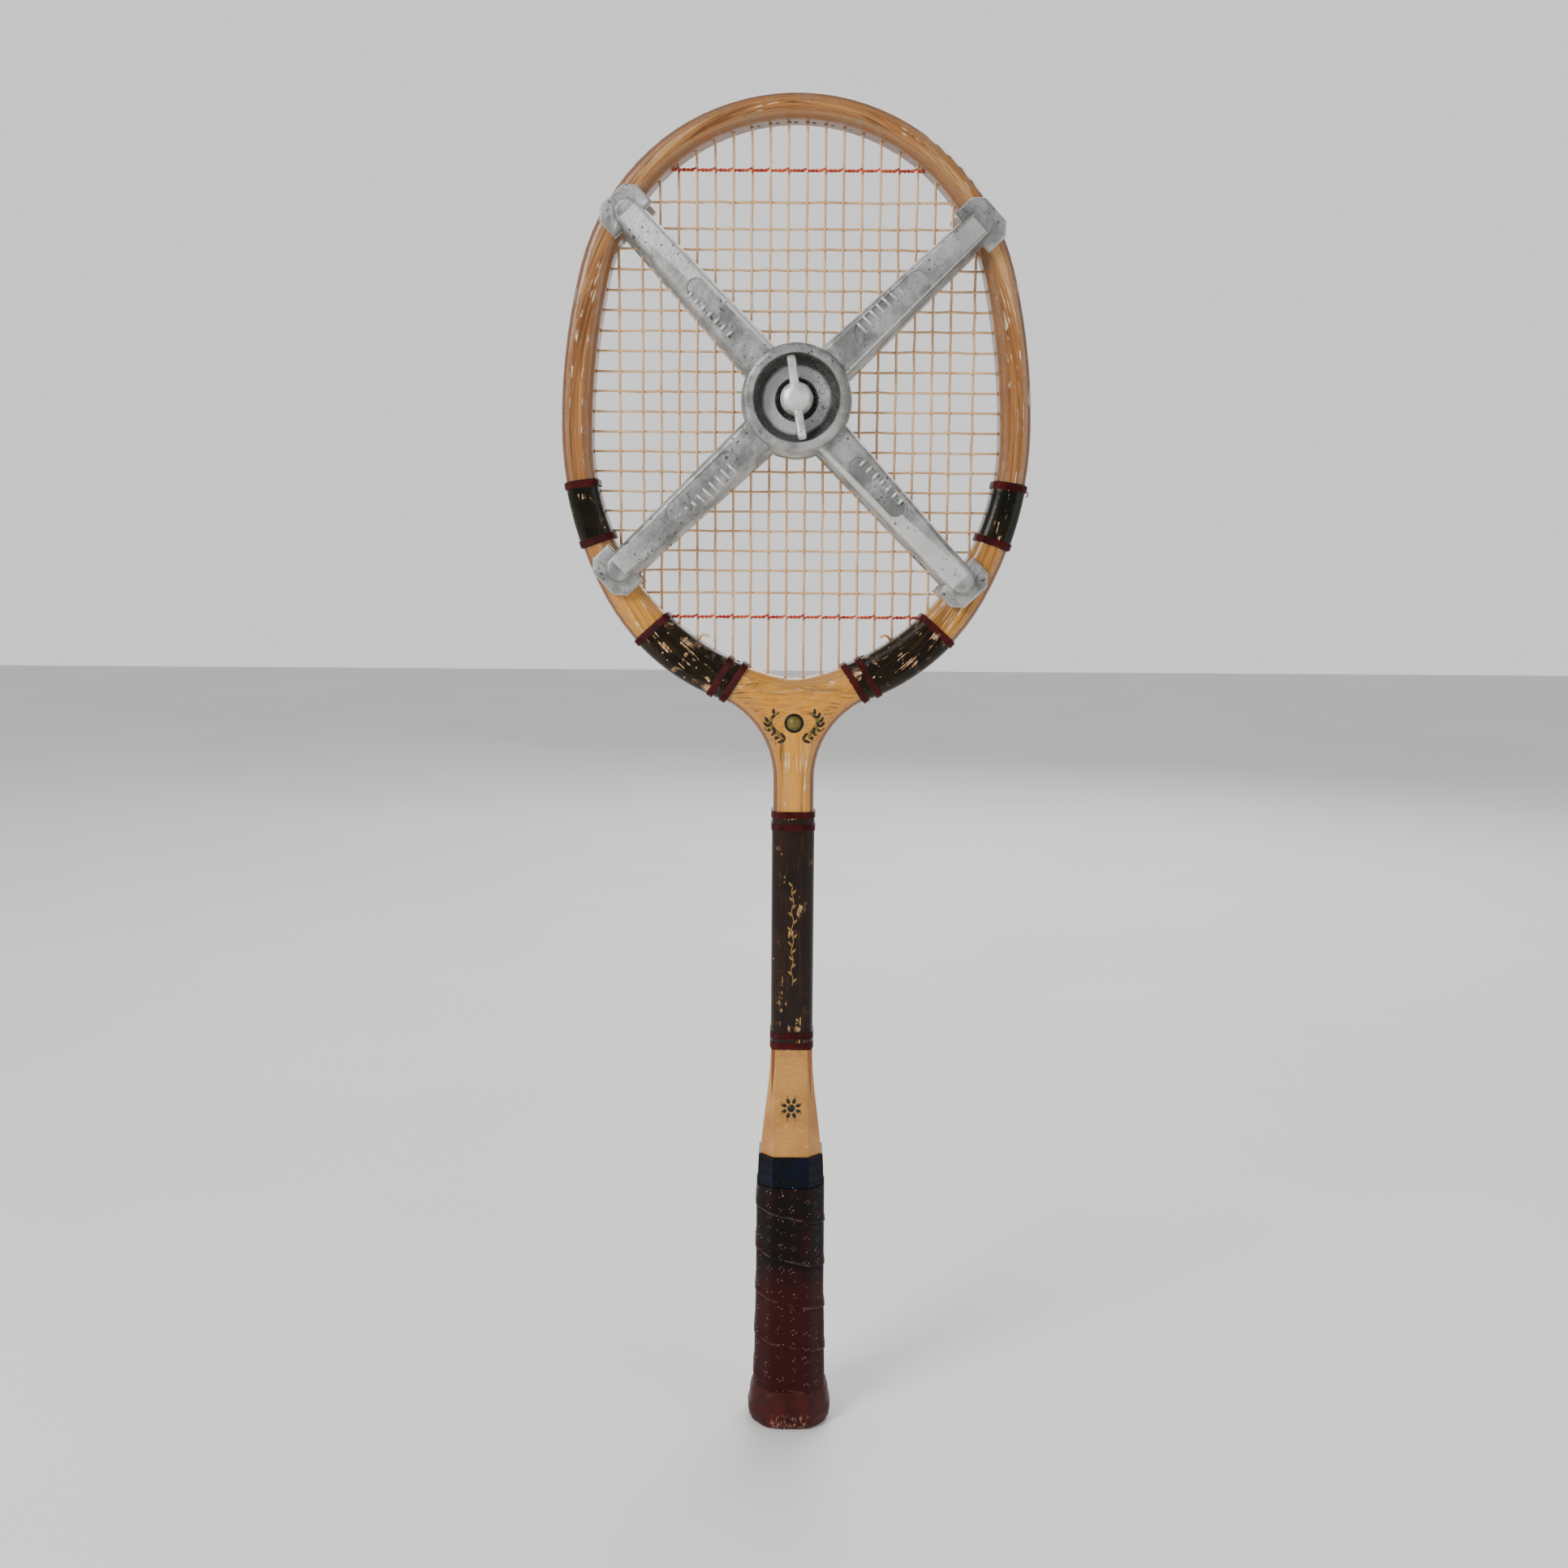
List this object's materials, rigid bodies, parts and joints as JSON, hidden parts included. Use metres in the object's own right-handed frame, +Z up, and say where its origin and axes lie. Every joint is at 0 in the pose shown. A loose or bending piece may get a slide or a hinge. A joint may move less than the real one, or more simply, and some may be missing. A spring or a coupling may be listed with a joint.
{
  "type": "tennis racket",
  "caption": "Laminated wooden tennis racket with gut strings, whipped shoulders and leather grip, clamped in a cast cross-shaped screw press.",
  "frame": {"origin": "middle of the flat butt face at the foot of the handle", "axes": "+Z up the racket from butt to tip, +X to the right, the front face of the strings looks along -Y"},
  "size_m": [0.2334, 0.0497, 0.6858],
  "materials": {
    "hoop_edge_wood": "varnished",
    "bow_wood": "varnished",
    "throat_wood": "varnished",
    "handle_wood": "varnished",
    "butt_leather": "worn",
    "collar_wood": "raw",
    "grip_leather": "perforated, worn",
    "navy_band": "gloss",
    "shaft_wrap": "gloss, chipped",
    "thread": "waxed",
    "hoop_wrap": "gloss, chipped",
    "gut": "natural gut",
    "trebling": "twisted",
    "cast_alloy": "as cast",
    "steel": "dull",
    "nut_alloy": "cast, rubbed bright"
  },
  "bodies": {
    "racket": {"outer_ply": "hoop_edge_wood", "core_ply_outer": "bow_wood", "core_ply_middle": "bow_wood", "core_ply_inner": "bow_wood", "liner_ply": "bow_wood", "inner_ply": "bow_wood", "throat_wedge": "throat_wood", "cheek_left": "handle_wood", "cheek_right": "handle_wood", "cheek_front": "handle_wood", "cheek_back": "handle_wood", "butt_plate": "butt_leather", "butt_collar": "collar_wood", "butt_cuff": "butt_leather", "leather_grip": "grip_leather", "grip_top_band": "navy_band", "shaft_wrap": "shaft_wrap", "shaft_thread_bands": "thread", "side_wrap_left": "hoop_wrap", "side_wrap_right": "hoop_wrap", "side_bands_left": "thread", "side_bands_right": "thread", "shoulder_wrap_left": "hoop_wrap", "shoulder_wrap_right": "hoop_wrap", "shoulder_bands_left": "thread", "shoulder_bands_right": "thread", "main_strings": "gut", "cross_strings": "gut", "trebling_top": "trebling", "trebling_bottom": "trebling"},
    "press_front_plate": {"press_front": "cast_alloy", "press_washer": "steel"},
    "press_back_plate": {"press_back": "cast_alloy", "press_stud": "steel"},
    "wing_nut": {"wing_nut": "nut_alloy"}
  },
  "joints": [
    {"name": "front_plate_slide", "type": "slide", "parent": "racket", "child": "press_front_plate", "axis": [0, -1, 0], "range_m": [0, 0.004]},
    {"name": "back_plate_slide", "type": "slide", "parent": "racket", "child": "press_back_plate", "axis": [0, 1, 0], "range_m": [0, 0.004]},
    {"name": "wing_nut_turn", "type": "hinge", "parent": "press_front_plate", "child": "wing_nut", "pos_m": [0, 0, 0.5397], "axis": [0, -1, 0], "range_deg": [0, 2880]}
  ],
  "couplings": [
    {"joint": "wing_nut_turn", "follows": "front_plate_slide", "rad_per_m": 12566},
    {"joint": "back_plate_slide", "follows": "front_plate_slide", "ratio": 1}
  ]
}
